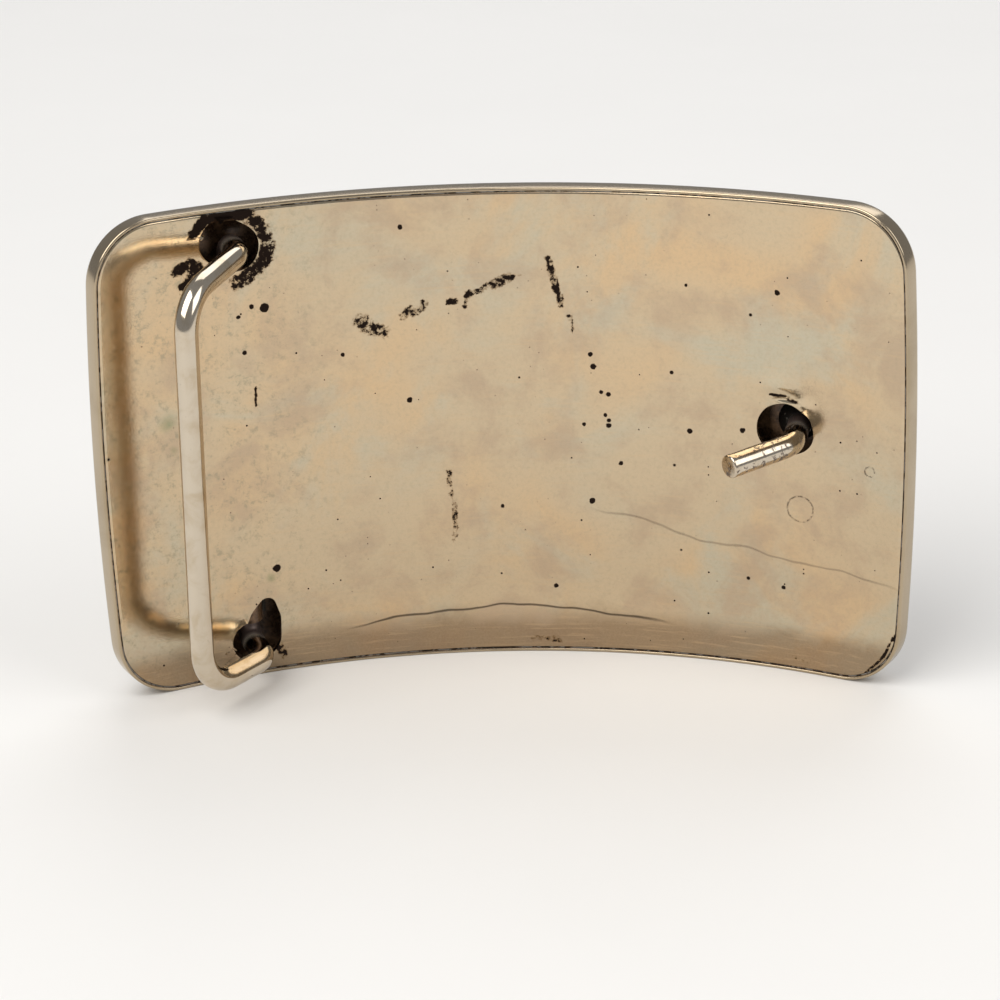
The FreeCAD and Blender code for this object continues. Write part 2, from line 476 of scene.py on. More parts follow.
@dataclass(frozen=True)
class Crease:
    """One long, slightly wavy line across the sheet, whose height bows over its way."""

    height: float
    slope: float
    bow: float
    start: float
    end: float
    width: float
    fade: float = 5.0

    def mask(self, g: Graph) -> Socket:
        """Mask of the line."""
        x, _, z = g.axes()
        bowed = g.times(g.plus(g.times(x, self.bow), self.slope), x)
        wave = g.times(g.minus(g.noise(0.13, 2.0), 0.5), 2.2)
        middle = g.plus(g.plus(bowed, wave), self.height + Bend.shift_z)
        off = g.math("ABSOLUTE", g.minus(z, middle))
        inside = g.times(g.step(x, self.start, self.start + self.fade),
                         g.step(x, self.end, self.end - self.fade))
        return g.times(g.step(off, self.width + 0.1, self.width * 0.4), g.times(inside, 0.75))


@dataclass(frozen=True)
class BackFinish:
    """Nickel silver sheet with patchy warm tarnish, fine scratches, pits and black flux, with painted shade
    along its bottom edge and in two thin dark lines.
    """

    base: Colour = (0.615, 0.49, 0.33)
    green: Colour = (0.555, 0.50, 0.375)
    golden: Colour = (0.675, 0.485, 0.29)
    rose: Colour = (0.50, 0.375, 0.26)
    flux_and_painted_shadow: Colour = (0.016, 0.009, 0.006)
    grit: Colour = (0.42, 0.36, 0.25)
    moss: Colour = (0.28, 0.27, 0.19)
    painted_bottom_shade: Colour = (0.23, 0.15, 0.085)
    copper_green: Colour = (0.13, 0.20, 0.08)
    halo: Colour = (0.17, 0.095, 0.035)
    gloss: Gloss = Gloss.SATIN
    spots: tuple[Triple, ...] = (
        (-25.4, 15.3, 0.5), (-26.8, 15.6, 0.28), (-28.3, 14.6, 0.22), (-27.8, 10.6, 0.26), (-10.2, 3.4, 0.3),
        (9.3, -8.7, 0.34), (8.5, 0.2, 0.22), (11.2, 0.1, 0.3), (11.2, 0.7, 0.24), (10.85, 1.3, 0.22),
        (11.2, 3.7, 0.28), (10.4, 3.9, 0.22), (9.6, 6.8, 0.34), (9.3, 8.2, 0.24), (12.5, -4.2, 0.26),
        (20.0, 0.0, 0.3), (25.8, 0.6, 0.3), (29.5, 16.4, 0.3), (-10.6, 22.8, 0.28), (-0.5, -9.3, 0.24),
        (19.6, 16.4, 0.2), (-17.2, 9.1, 0.22), (-25.5, -14.5, 0.45), (5.2, -18.8, 0.25), (30.5, -17.0, 0.24),
    )
    rings: tuple[Triple, ...] = ((32.3, -7.6, 1.45), (40.1, -2.1, 0.55))
    verdigris: tuple[Triple, ...] = ((-36.6, 4.0, 1.3), (-36.2, 1.0, 0.8), (-26.2, -15.6, 0.7))
    long_crease: Crease = Crease(-21.2, 0.0, -0.0052, -19.0, 19.0, 0.12)
    faint_crease: Crease = Crease(-6.05, -0.391, 0.00457, 8.0, 43.0, 0.1)

    def build(self, bend: Bend) -> Material:
        """Makes the material.

        Args:
            bend: the buckle's bend, which places the single marks.

        Returns:
            The material.
        """
        g = Graph("back_nickel_silver")
        cloud = g.noise(0.13, 6.0, 0.66, warp=0.4)
        speckle = g.noise(2.4, 6.0, 0.7)
        # the flux attribute also carries two painted shadows, in the slit above the hook's hole and in the
        # open seam at the bottom right corner
        dirt_and_painted_shadow = g.plus(g.attribute("soot_and_painted_shadow"), g.times(g.noise(1.5, 6.0, 0.72), 1.25))
        pits = self.pitting(g, cloud)
        marks = self.marks(g, bend, g.most(pits, g.step(dirt_and_painted_shadow, 1.3, 1.36)), speckle)
        colour = g.tint(self.tarnish(g, bend, cloud, speckle), self.halo, g.step(dirt_and_painted_shadow, 1.16, 1.32), 0.6)
        colour = g.mix(marks, colour, self.flux_and_painted_shadow)
        rough = g.plus(g.times(cloud, 0.1), self.gloss.value - 0.06)
        rough = g.plus(rough, g.times(g.step(speckle, 0.5, 0.8), 0.08))
        rough = g.blend(marks, rough, Gloss.DULL.value)
        scratch = g.noise(1.0, 3.0, 0.6, g.stretched((0.5, 1.0, 9.0), (0.0, 24.0, 0.0)))
        grain = g.bump(scratch, 0.12, 0.02)
        normal = g.bump(g.minus(speckle, g.times(pits, 0.9)), 0.2, 0.03, grain)
        return g.dress(colour, rough, normal, g.minus(1.0, g.times(marks, 0.1)))

    def tarnish(self, g: Graph, bend: Bend, cloud: Socket, speckle: Socket) -> Socket:
        """Colour of the metal under its marks, from its patches and fine grain, with painted shade darkening
        it towards the bottom edge.
        """
        x, _, z = g.axes()
        wide = g.noise(0.06, 2.0, 0.5, warp=0.4)
        patch = g.noise(0.075, 5.0, 0.6, warp=0.5)
        colour = g.mix(g.step(wide, 0.38, 0.66), self.base, self.golden)
        colour = g.mix(g.step(patch, 0.44, 0.66), colour, self.green)
        colour = g.tint(colour, self.rose, g.step(cloud, 0.44, 0.68), 0.7)
        colour = g.tint(colour, self.grit, g.step(speckle, 0.45, 0.7), 0.3)
        growth = g.times(g.step(g.noise(0.9, 7.0, 0.85), 0.52, 0.62), g.step(x, -12.0, -30.0))
        colour = g.tint(colour, self.moss, growth, 0.55)
        # painted shade: darker towards the bottom edge, standing in for the shadowed floor that the polished
        # bottom edge reflects
        low = g.step(g.plus(z, g.times(cloud, 5.0)), 8.6, 5.4)
        colour = g.tint(colour, self.painted_bottom_shade, low, 0.72)
        for s, height, radius in self.verdigris:
            wide_edge = radius * 2.4
            spread = g.plus(g.distance(bend.place(s, height)), g.times(cloud, wide_edge))
            colour = g.tint(colour, self.copper_green, g.step(spread, wide_edge, radius), 0.55)
        brushed = g.noise(0.5, 5.0, 0.7, g.stretched((0.35, 1.0, 6.0), (0.0, -16.0, 0.0)))
        colour = g.tint(colour, self.golden, g.step(brushed, 0.5, 0.75), 0.35)
        return g.tint(colour, self.rose, g.step(g.noise(5.0, 2.0), 0.35, 0.75), 0.16)

    def pitting(self, g: Graph, cloud: Socket) -> Socket:
        """Mask of the scattered pits, denser where the clouds are dark."""
        pits = g.most(g.pits(0.42, 0.12, 0.5), g.pits(1.1, 0.16, 0.2))
        specks = g.times(g.pits(2.1, 0.2, 0.12), g.step(cloud, 0.4, 0.6))
        return g.most(pits, g.times(specks, 0.6))

    def marks(self, g: Graph, bend: Bend, marks: Socket, speckle: Socket) -> Socket:
        """Adds the single dots, rings and creases to the mask of dark marks."""
        wobble = g.times(g.noise(2.0, 2.0), 0.3)
        for s, height, radius in self.spots:
            far = g.plus(g.distance(bend.place(s, height)), wobble)
            marks = g.most(marks, g.step(far, radius + 0.2, radius + 0.1))
        for s, height, radius in self.rings:
            off = g.math("ABSOLUTE", g.minus(g.distance(bend.place(s, height)), radius))
            ring = g.times(g.step(off, 0.14, 0.05), g.step(speckle, 0.4, 0.55))
            marks = g.most(marks, g.times(ring, 0.6))
        marks = g.most(marks, self.long_crease.mask(g))
        return g.most(marks, g.times(self.faint_crease.mask(g), 0.45))


@dataclass(frozen=True)
class FrontFinish:
    """Polished nickel silver of the formed front, with fine wear scratches."""

    base: Colour = (0.47, 0.38, 0.265)
    warm: Colour = (0.415, 0.33, 0.22)
    pit: Colour = (0.05, 0.04, 0.03)
    grime: Colour = (0.04, 0.028, 0.018)
    gloss: Gloss = Gloss.SATIN

    def build(self) -> Material:
        """Makes the material."""
        g = Graph("front_nickel_silver")
        patch = g.noise(0.09, 4.0, 0.6, warp=0.8)
        colour = g.mix(g.step(patch, 0.4, 0.65), self.base, self.warm)
        fine = g.noise(1.2, 4.0, 0.65, g.stretched((6.0, 6.0, 0.7), (0.0, 35.0, 0.0)))
        cross = g.noise(1.1, 4.0, 0.65, g.stretched((0.6, 0.6, 7.0), (0.0, 20.0, 0.0)))
        colour = g.tint(colour, self.pit, g.pits(0.6, 0.12, 0.25), 0.8)
        caught = g.times(g.step(g.attribute("grime"), 0.3, 0.95), g.step(g.noise(0.5, 4.0), 0.25, 0.5))
        colour = g.tint(colour, self.grime, caught, 0.85)
        rough = g.plus(g.times(patch, 0.14), self.gloss.value - 0.02)
        rough = g.plus(rough, g.times(g.step(fine, 0.55, 0.75), 0.08))
        rough = g.blend(caught, rough, Gloss.DULL.value)
        normal = g.bump(fine, 0.1, 0.015, g.bump(cross, 0.1, 0.015))
        return g.dress(colour, rough, normal)


@dataclass(frozen=True)
class WireFinish:
    """Nickel-plated drawn wire, rubbed bright, with worn dark patches."""

    base: Colour = (0.62, 0.54, 0.43)
    tint: Colour = (0.535, 0.44, 0.32)
    worn: Colour = (0.10, 0.07, 0.06)
    worn_share: float = 0.66
    buried: float = 0.4
    gloss: Gloss = Gloss.BRIGHT

    def build(self, name: str) -> Material:
        """Makes the material under the given name."""
        g = Graph(name)
        patch = g.noise(0.35, 4.0, 0.6, warp=0.5)
        colour = g.mix(g.step(patch, 0.42, 0.72), self.base, self.tint)
        stain = g.noise(1.1, 6.0, 0.75, warp=0.7)
        dark = g.times(g.step(stain, self.worn_share, self.worn_share + 0.05), 0.85)
        dark = g.most(dark, g.step(g.axes()[1], self.buried, self.buried + 1.8))
        colour = g.mix(dark, colour, self.worn)
        drawn = g.noise(3.0, 3.0, 0.6, g.stretched((1.0, 1.0, 0.15)))
        rough = g.plus(g.times(patch, 0.1), self.gloss.value - 0.03)
        rough = g.blend(dark, rough, 0.4)
        normal = g.bump(drawn, 0.08, 0.02, g.bump(stain, 0.12, 0.03))
        return g.dress(colour, rough, normal, g.minus(1.0, g.times(dark, 0.5)))


@dataclass(frozen=True)
class OxideFinish:
    """Glossy dark brown flux and oxide left inside the hollow body."""

    dark: Colour = (0.07, 0.038, 0.02)
    brown: Colour = (0.24, 0.14, 0.075)
    roughness: float = 0.26

    def build(self) -> Material:
        """Makes the material."""
        g = Graph("inner_oxide", 0.25)
        patch = g.noise(0.8, 5.0, 0.65)
        colour = g.mix(g.step(patch, 0.42, 0.7), self.dark, self.brown)
        rough = g.plus(g.times(patch, 0.25), self.roughness - 0.1)
        return g.dress(colour, rough, g.bump(patch, 0.35, 0.08))


@dataclass(frozen=True)
class SolderFinish:
    """Dull grey solder with a share of grime over it."""

    name: str
    grimy: float
    grey: Colour = (0.32, 0.30, 0.27)
    grime: Colour = (0.03, 0.025, 0.02)

    def build(self) -> Material:
        """Makes the material."""
        g = Graph(self.name, 0.7)
        patch = g.noise(0.9, 5.0, 0.7)
        cover = self.grimy * 0.6
        colour = g.mix(g.step(patch, 0.75 - cover, 0.85 - cover), self.grey, self.grime)
        return g.dress(colour, g.blend(patch, 0.35, 0.65), g.bump(patch, 0.3, 0.05))


@dataclass
class FrontShell:
    """Formed front: rolled rim, ledge and a raised hollow panel with a cut border line."""

    bend: Bend
    outline: Outline
    rim_proud: float = 0.12
    rim_width: float = 0.35
    ledge_width: float = 0.6
    sheet: float = 0.8
    back_sheet: float = 0.6
    edge_depth: float = 2.5
    panel_depth: float = 4.9
    panel_inset: float = 1.2
    shoulder: float = 2.3
    line_inset: float = 5.4
    core_inset: float = 6.6
    engraving: tuple[Place, ...] = (
        (0.9, 0.0), (0.45, 0.0), (0.35, 0.09), (0.1, 0.09), (0.0, 0.0),
        (-0.3, 0.0), (-0.36, 0.05), (-0.44, 0.05), (-0.5, 0.0), (-1.1, 0.0),
    )
    rim_round: float = 0.8
    lip_round: float = 0.2
    hollow_round: float = 1.8

    def profile(self) -> tuple[list[Place], int]:
        """Cross-section from the front face round the rim to the inside.

        Returns:
            (inset, depth) pairs, and how many of them are outside the hollow.
        """
        face = self.panel_depth
        outside = [(self.line_inset + across, face - deep) for across, deep in self.engraving]
        centre = self.panel_inset + self.shoulder
        outside += quarter(centre, face - self.shoulder, self.shoulder, 90, 0, 9)
        outside += [(self.panel_inset, self.edge_depth), (self.panel_inset - 0.15, self.edge_depth)]
        outside += quarter(self.rim_round, self.edge_depth - self.rim_round, self.rim_round, 90, 0, 7)
        outside += [(0.0, 0.9)]
        outside += quarter(self.lip_round, self.lip_round - self.rim_proud, self.lip_round, 0, -90, 5)
        outside += [(self.rim_width - 0.06, -self.rim_proud), (self.rim_width, 0.06 - self.rim_proud)]
        mouth = self.rim_width + self.ledge_width
        hollow = self.panel_inset + self.sheet
        inner_face = face - self.sheet
        inner_edge = self.edge_depth - self.sheet
        inside = [(self.rim_width, self.back_sheet), (mouth - 0.1, self.back_sheet),
                  (mouth, self.back_sheet + 0.1), (mouth, inner_edge - 0.05),
                  (mouth + 0.05, inner_edge), (hollow, inner_edge)]
        inside += quarter(hollow + self.hollow_round, inner_face - self.hollow_round,
                          self.hollow_round, 0, 90, 6)
        return outside + inside, len(outside)

    def build(self, metal: Material, oxide: Material) -> Piece:
        """Builds the shell.

        Args:
            metal: finish of the outside.
            oxide: finish of the hollow.

        Returns:
            The piece.
        """
        sheet = BentSheet(self.bend, self.outline)
        grime = sheet.mesh.verts.layers.float.new("grime")
        sheet.panel(self.core_inset, self.panel_depth)
        pairs, outside = self.profile()
        edges = [edge for edge in sheet.mesh.edges if edge.is_boundary]
        outer = set()
        for number, (inset, depth) in enumerate(pairs):
            if number == outside:
                outer = set(sheet.mesh.faces)
            edges = sheet.grow(edges, inset, depth)
            in_line = inset > self.line_inset - 0.9 and depth < self.panel_depth - 0.01
            in_corner = inset == self.panel_inset and depth == self.edge_depth
            for vert in {vert for edge in edges for vert in edge.verts}:
                vert[grime] = 1.0 if (in_line and number < outside) or in_corner else 0.0
        sheet.grow(edges, self.core_inset, self.panel_depth - self.sheet)
        sheet.panel(self.core_inset, self.panel_depth - self.sheet)
        for face in set(sheet.mesh.faces) - outer:
            face.material_index = 1
        bmesh.ops.remove_doubles(sheet.mesh, verts=sheet.mesh.verts, dist=1e-6)
        bmesh.ops.recalc_face_normals(sheet.mesh, faces=sheet.mesh.faces)
        piece = finished("front_shell_formed", sheet.mesh, (metal, oxide))
        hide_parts("front_shell")
        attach(piece, "buckle")
        return piece


@dataclass(frozen=True)
class Opening:
    """A hole whose outline is round ends joined by straight flanks: (s, z, radius) each."""

    ends: tuple[Triple, ...]
    ragged: float = 0.0
    lean: float = 0.8
    lobes: int = 12
    ripple: float = 2.1

    def centre(self) -> Place:
        """Middle of the hole, from which its whole edge can be seen."""
        first, last = self.ends[0], self.ends[-1]
        share = first[2] / (first[2] + last[2]) if len(self.ends) < 3 else self.lean
        return (first[0] * share + last[0] * (1 - share), first[1] * share + last[1] * (1 - share))

    def edge(self, angle: float) -> float:
        """Distance from the centre to the edge in one direction.

        Args:
            angle: direction in radians.

        Returns:
            The distance in millimetres.
        """
        middle = self.centre()
        far = 0.0
        discs = list(self.ends)
        for first, second in zip(self.ends, self.ends[1:]):
            for step in range(1, self.lobes):
                share = step / self.lobes
                discs.append(tuple(a + (b - a) * share for a, b in zip(first, second)))
        for s, z, radius in discs:
            away = (s - middle[0], z - middle[1])
            ahead = away[0] * cos(angle) + away[1] * sin(angle)
            aside = away[0] ** 2 + away[1] ** 2 - ahead ** 2
            if aside <= radius ** 2:
                far = max(far, ahead + sqrt(radius ** 2 - aside))
        around = (cos(angle) * self.ripple, sin(angle) * self.ripple, middle[0])
        return far + noise.noise(Vector(around)) * self.ragged

    def reach(self, *angles: float) -> float:
        """Longest of the distances to the edge in a few directions."""
        return max(self.edge(angle) for angle in angles)


@dataclass(frozen=True)
class Dent:
    """A small hill, or a hollow where its rise is negative, pressed into the sheet."""

    s: float
    z: float
    wide: float
    tall: float
    rise: float
    slope: float = 0.0

    def height(self, s: float, z: float) -> float:
        """Rise of the sheet at a place, in millimetres."""
        across = (s - self.s) / self.wide
        up = (z - self.z + (s - self.s) * self.slope) / self.tall
        return exp(-across ** 2 - up ** 2) * self.rise


@dataclass(frozen=True)
class Trail:
    """A run of black flux along a path on the sheet; two of the plate's runs are painted shadow, in a slit and
    in an open seam.
    """

    path: tuple[Place, ...]
    width: float
    strength: float
    fade: float = 1.6

    def thickness(self, s: float, z: float) -> float:
        """How thick the flux lies at a place, from 0 to the trail's strength."""
        best = 0.0
        for first, second in zip(self.path, self.path[1:]):
            run = (second[0] - first[0], second[1] - first[1])
            size = run[0] ** 2 + run[1] ** 2
            share = held(((s - first[0]) * run[0] + (z - first[1]) * run[1]) / size)
            far = hypot(s - first[0] - run[0] * share, z - first[1] - run[1] * share)
            best = max(best, self.strength * held(self.fade - far / self.width))
        return best


@dataclass
class BackPlate:
    """Thin bent sheet with three holes, slightly dented by hand work."""

    bend: Bend
    outline: Outline
    inset: float = 0.5
    thickness: float = 0.6
    openings: tuple[Opening, ...] = (
        Opening(((-29.4, 23.0, 2.65), (-28.3, 22.3, 2.65)), 0.07),
        Opening(((-28.6, -22.7, 2.3), (-27.6, -22.5, 2.2), (-27.1, -20.4, 1.8), (-26.8, -18.8, 1.0)), 0.06),
        Opening(((30.3, 1.15, 3.0), (31.1, 1.05, 2.6)), 0.12),
    )
    soot_and_painted_shadow: tuple[Trail, ...] = tuple(Trail(*row) for row in (
        (((-27.0, 25.7), (-25.4, 24.3), (-24.6, 22.3), (-25.1, 20.5), (-26.5, 19.3), (-28.2, 18.4)), 1.0, 0.8),
        (((-32.6, 24.4), (-31.2, 25.7), (-28.2, 25.8), (-27.2, 25.6)), 0.7, 0.9),
        (((-34.7, 20.6), (-33.2, 21.2), (-32.2, 20.4), (-34.0, 18.6)), 0.8, 0.85),
        (((-15.2, 12.8), (-14.2, 11.8), (-12.9, 11.3)), 1.05, 0.72),
        (((-10.6, 12.9), (-9.9, 13.7), (-9.2, 13.2), (-8.3, 14.2)), 0.6, 0.74),
        (((-5.7, 14.2), (-5.0, 14.3)), 0.5, 0.8),
        (((-4.1, 13.5), (-3.6, 15.3), (-2.5, 15.1), (-1.8, 15.9)), 0.42, 0.74),
        (((-1.0, 16.0), (0.8, 16.8)), 0.7, 0.76),
        (((0.8, 16.8), (2.2, 16.9)), 0.35, 0.7),
        (((4.9, 18.8), (5.5, 16.5), (6.2, 13.8)), 0.55, 0.8),
        (((7.1, 12.6), (7.5, 10.8)), 0.35, 0.74),
        (((-6.3, -4.9), (-5.6, -10.8), (-5.9, -13.2)), 0.5, 0.66),
        (((-26.8, 6.4), (-26.8, 4.6)), 0.3, 0.95),
        (((-26.2, -22.4), (-25.2, -24.9)), 0.55, 0.75),
        (((-26.3, -18.0), (-25.6, -20.0)), 0.4, 0.5),
        # painted shadow: this run paints the open seam between the back plate's edge and the front rim at the
        # bottom right corner
        (((40.0, -25.5), (42.2, -23.0), (43.5, -20.0)), 0.22, 0.8),
        # painted shadow: this run paints the dark slit under the pushed-up lip above the hook's hole
        (((28.9, 4.95), (30.2, 4.9), (31.6, 4.5)), 0.3, 0.95),
        (((2.4, -25.2), (5.5, -25.3)), 0.5, 0.62),
        (((31.6, -25.1), (33.4, -25.3)), 0.4, 0.62),
    ))
    dents: tuple[Dent, ...] = (
        Dent(29.6, 5.9, 1.6, 1.1, 0.22),
        Dent(30.2, 4.8, 1.2, 0.3, -0.28, 0.15),
        Dent(41.5, -23.5, 2.5, 2.5, 0.12),
        Dent(32.5, 4.0, 0.9, 0.8, 0.16),
    )
    room: float = 0.55

    def build(self, metal: Material) -> Piece:
        """Builds the plate.

        Args:
            metal: its finish.

        Returns:
            The piece.
        """
        sheet = BentSheet(self.bend, self.outline)
        sheet.panel(self.inset + 0.3, 0.0)
        for opening in self.openings:
            self.pierce(sheet, opening)
        self.hammer(sheet)
        rim = [edge for edge in sheet.mesh.edges
               if edge.is_boundary and all(vert[sheet.ring] >= 0 for vert in edge.verts)]
        rim = sheet.grow(rim, self.inset + 0.06, 0.0)
        sheet.grow(rim, self.inset, 0.06)
        bmesh.ops.recalc_face_normals(sheet.mesh, faces=sheet.mesh.faces)
        middle = min(sheet.mesh.faces, key=lambda face: face.calc_center_median().xz.length)
        if middle.normal.y > 0:
            bmesh.ops.reverse_faces(sheet.mesh, faces=sheet.mesh.faces)
        self.stain(sheet)
        piece = finished("back_plate_sheet", sheet.mesh, (metal,))
        thick = piece.modifiers.new("gauge", "SOLIDIFY")
        thick.thickness = self.thickness * MM
        thick.offset = -1.0
        soft = piece.modifiers.new("eased_edges", "BEVEL")
        soft.width = 0.07 * MM
        soft.segments = 2
        soft.limit_method = "ANGLE"
        soft.angle_limit = radians(50)
        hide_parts("back_plate")
        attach(piece, "buckle")
        return piece

    def block(self, sheet: BentSheet, opening: Opening) -> list[bmesh.types.BMFace]:
        """Faces of the grid that a hole and its surround take the place of."""
        middle = opening.centre()
        right = opening.reach(0.0, 0.6, -0.6) + self.room
        left = opening.reach(pi, 2.5, 3.8) + self.room
        up = opening.reach(1.57, 1.1, 2.0) + 0.5
        down = opening.reach(-1.57, -1.1, -2.0) + 0.5
        edge_z = self.outline.height / 2 - self.inset - self.room
        inside = []
        for face in sheet.mesh.faces:
            s, z = sheet.bent_place(face.calc_center_median())
            if -left < s - middle[0] < right and -down < z - middle[1] < up and abs(z) < edge_z:
                inside.append(face)
        return inside

    def pierce(self, sheet: BentSheet, opening: Opening, steps: int = 5) -> None:
        """Cuts one hole: clears a block of the grid and bridges it to the hole's edge.

        Args:
            sheet: the plate so far.
            opening: the hole.
            steps: rings of faces from the block's border to the hole.
        """
        middle = opening.centre()
        near = (opening.reach(*(tau * step / 48 for step in range(48))) + 2.5) * 1.6
        bmesh.ops.delete(sheet.mesh, geom=self.block(sheet, opening), context="FACES")
        edges = []
        for edge in sheet.mesh.edges:
            if edge.is_boundary and not all(vert[sheet.ring] >= 0 for vert in edge.verts):
                s, z = sheet.bent_place((edge.verts[0].co + edge.verts[1].co) / 2)
                if hypot(s - middle[0], z - middle[1]) < near:
                    edges.append(edge)
        starts = {vert: sheet.bent_place(vert.co) for edge in edges for vert in edge.verts}
        for step in range(steps):
            made = bmesh.ops.extrude_edge_only(sheet.mesh, edges=edges)["geom"]
            share = 1.0 / (steps - step)
            moved = {}
            for vert in of_kind(made, Vert):
                first = next(starts[edge.other_vert(vert)] for edge in vert.link_edges
                             if edge.other_vert(vert) in starts)
                angle = atan2(first[1] - middle[1], first[0] - middle[0])
                far = opening.edge(angle)
                goal = (middle[0] + far * cos(angle), middle[1] + far * sin(angle))
                moved[vert] = tuple(a + (b - a) * share for a, b in zip(first, goal))
                vert.co = self.bend.place(*moved[vert])
                vert[sheet.ring] = -1
            starts = moved
            edges = [edge for edge in of_kind(made, Edge) if edge.is_boundary]

    def hammer(self, sheet: BentSheet) -> None:
        """Gives the sheet its faint unevenness and the pushed-up lip above the hook's hole."""
        still_z, still_s = self.outline.height / 2 - 1.5, self.outline.arc_width / 2 - 2.0
        fade = 4
        for vert in sheet.mesh.verts:
            if vert[sheet.ring] >= 0:
                continue
            s, z = sheet.bent_place(vert.co)
            calm = held((still_z - abs(z)) / fade) * held((still_s - abs(s)) / fade)
            rise = noise.noise(Vector((s / 17, z / 15, 3.1))) * 0.05 * calm
            rise += noise.noise(Vector((s / 6, z / 5, 8.4))) * 0.012 * calm
            for dent in self.dents:
                rise += dent.height(s, z)
            vert.co += self.bend.outward(s) * rise * MM

    def stain(self, sheet: BentSheet) -> None:
        """Stores how thick the black flux and the painted shadow lie at each point."""
        layer = sheet.mesh.verts.layers.float.new("soot_and_painted_shadow")
        for vert in sheet.mesh.verts:
            s, z = sheet.bent_place(vert.co)
            vert[layer] = max(trail.thickness(s, z) for trail in self.soot_and_painted_shadow)


@dataclass
class BentWire:
    """Round wire bent at a few corners, with eased ends."""

    radius: float = 1.25
    around: int = 32
    spacing: float = 0.8
    easing: float = 0.22
    unevenness: float = 0.012
    facet: float = 5.0

    def build(self, name: str, corners: Sequence[Vector], bends: Sequence[float],
              metal: Material) -> Piece:
        """Builds the wire by extruding a circle along straight runs and spinning it round bends.

        Args:
            name: name of the piece.
            corners: corner points in metres, ends included.
            bends: centre-line bend radius at each inner corner, in millimetres.
            metal: its finish.

        Returns:
            The piece.
        """
        mesh = bmesh.new()
        heading = (corners[1] - corners[0]).normalized()
        turn = heading.to_track_quat("Z", "Y").to_matrix().to_4x4()
        matrix = Matrix.Translation(corners[0]) @ turn
        bmesh.ops.create_circle(mesh, cap_ends=True, segments=self.around,
                                radius=self.radius * MM, matrix=matrix)
        edges = [edge for edge in mesh.edges if edge.is_boundary]
        start = corners[0]
        for number, bend in enumerate(bends, 1):
            corner = corners[number]
            back = (corners[number - 1] - corner).normalized()
            ahead = (corners[number + 1] - corner).normalized()
            half = back.angle(ahead) / 2
            trim = bend * MM / tan(half)
            edges = self.run(mesh, edges, start, corner + back * trim)
            centre = corner + (back + ahead).normalized() * (bend * MM / sin(half))
            axis = (corner - centre).cross(ahead).normalized()
            sweep = pi - 2 * half
            steps = max(4, round(degrees(sweep) / self.facet))
            made = bmesh.ops.spin(mesh, geom=edges, cent=centre, axis=axis, angle=sweep, steps=steps)
            edges = of_kind(made["geom_last"], Edge)
            start = corner + ahead * trim
        edges = self.run(mesh, edges, start, corners[-1])
        bmesh.ops.contextual_create(mesh, geom=edges)
        bmesh.ops.remove_doubles(mesh, verts=mesh.verts, dist=1e-7)
        caps = [face for face in mesh.faces if len(face.verts) == self.around]
        rims = list(dict.fromkeys(edge for face in caps for edge in face.edges))
        bmesh.ops.bevel(mesh, geom=rims, offset=self.easing * MM, segments=3, profile=0.5,
                        affect="EDGES", material=-1)
        for vert in mesh.verts:
            vert.co += noise.noise_vector(vert.co * 420.0) * self.unevenness * MM
        bmesh.ops.recalc_face_normals(mesh, faces=mesh.faces)
        piece = finished(name, mesh, (metal,))
        return piece

    def run(self, mesh: Mesh, edges: list[Edge], start: Vector,
            end: Vector) -> list[Edge]:
        """Extrudes the open end of the wire straight from start to end."""
        steps = max(1, round((end - start).length / MM / self.spacing))
        for _ in range(steps):
            made = bmesh.ops.extrude_edge_only(mesh, edges=edges)["geom"]
            verts = of_kind(made, Vert)
            bmesh.ops.translate(mesh, verts=verts, vec=(end - start) / steps)
            edges = [edge for edge in of_kind(made, Edge) if all(vert in verts for vert in edge.verts)]
        return edges


@dataclass
class Bail(BentWire):
    """Swinging loop: pins inside the body, two legs out of their holes, and the long bar."""

    hinge_s: float = -28.4
    hinge_depth: float = 2.35
    upper_z: float = 22.2
    lower_z: float = -23.0
    pin: float = 6.6
    bar_side: float = 8.2
    bar_skew: float = 0.25
    bar_rise: float = 9.6
    bar_top: float = 20.6
    bends: tuple[float, ...] = (1.8, 2.6, 4.5, 4.5, 3.0, 1.8)

    def make(self, bend: Bend, metal: Material) -> Piece:
        """Builds the bail on its own body."""
        deep, high, low, side = -self.hinge_depth, self.upper_z, self.lower_z, -self.bar_side
        corners = [bend.local(self.hinge_s, *corner) for corner in (
            (0, deep, high - self.pin), (0, deep, high), (0, 1.9, high),
            (side + self.bar_skew, self.bar_rise, self.bar_top),
            (side - self.bar_skew, self.bar_rise, low),
            (0, 3.9, low), (0, deep, low), (0, deep, low + self.pin))]
        piece = self.build("bail_wire", corners, self.bends, metal)
        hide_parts("bail")
        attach(piece, "bail")
        return piece


@dataclass
class Hook(BentWire):
    """Fixed peg, bent towards the bail."""

    foot_s: float = 31.3
    foot_z: float = 1.2
    foot_depth: float = 4.05
    root: Place = (-0.5, -5.1)
    knee: Place = (1.1, 3.3)
    tip: Place = (-3.3, 10.6)
    bend_radius: float = 3.4

    def make(self, bend: Bend, metal: Material) -> Piece:
        """Builds the hook on the buckle's body."""
        s, z = self.foot_s, self.foot_z
        share = (-self.root[1] - self.foot_depth) / (self.knee[1] - self.root[1])
        knee = bend.local(s, *self.knee, z - 0.2)
        foot = bend.local(s, *self.root, z).lerp(knee, share)
        corners = [foot, knee, bend.local(s, *self.tip, z - 0.65)]
        piece = self.build("hook_peg", corners, (self.bend_radius,), metal)
        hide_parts("hook")
        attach(piece, "buckle")
        return piece


